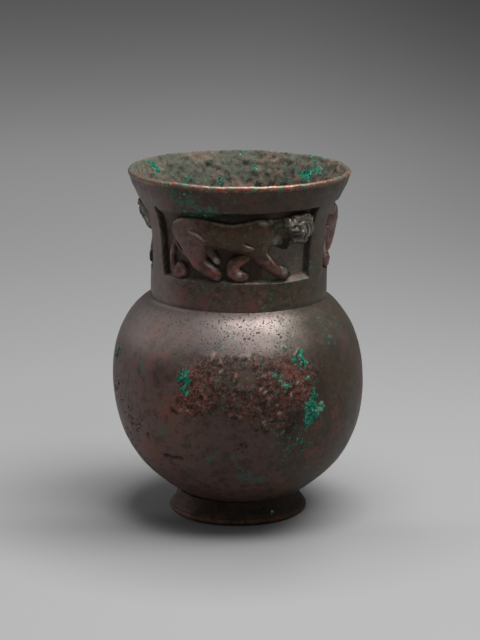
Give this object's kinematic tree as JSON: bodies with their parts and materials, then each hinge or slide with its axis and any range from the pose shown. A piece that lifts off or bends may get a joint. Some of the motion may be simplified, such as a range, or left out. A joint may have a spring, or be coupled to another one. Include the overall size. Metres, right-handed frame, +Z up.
{
  "type": "bronze jar",
  "caption": "Round-bellied bronze jar on a flared ring foot, with a flared collar neck whose sunk panels hold walking lions in relief.",
  "frame": {"origin": "centre of the foot ring's resting face", "axes": "+Z up along the jar's axis, -Y towards the front panel, +X to the right as seen from the front"},
  "size_m": [0.1174, 0.1174, 0.165],
  "materials": {
    "vessel_bronze": "dark brown patina with green and red corrosion",
    "figure_bronze": "dark red-brown patina, worn on the high places",
    "head_bronze": "grey-brown patina, worn on the high places",
    "rivet_bronze": "dull earthy patina",
    "solder": "dull grey"
  },
  "bodies": {
    "root": {"bowl": "vessel_bronze", "neck_collar": "vessel_bronze", "foot_ring": "vessel_bronze", "neck_solder": "solder", "foot_solder": "solder", "front_lion": "figure_bronze", "right_lion": "figure_bronze", "left_lion": "figure_bronze", "front_lion_head": "head_bronze", "right_lion_head": "head_bronze", "left_lion_head": "head_bronze", "figure_rivets": "rivet_bronze", "head_rivets": "rivet_bronze"}
  },
  "joints": []
}
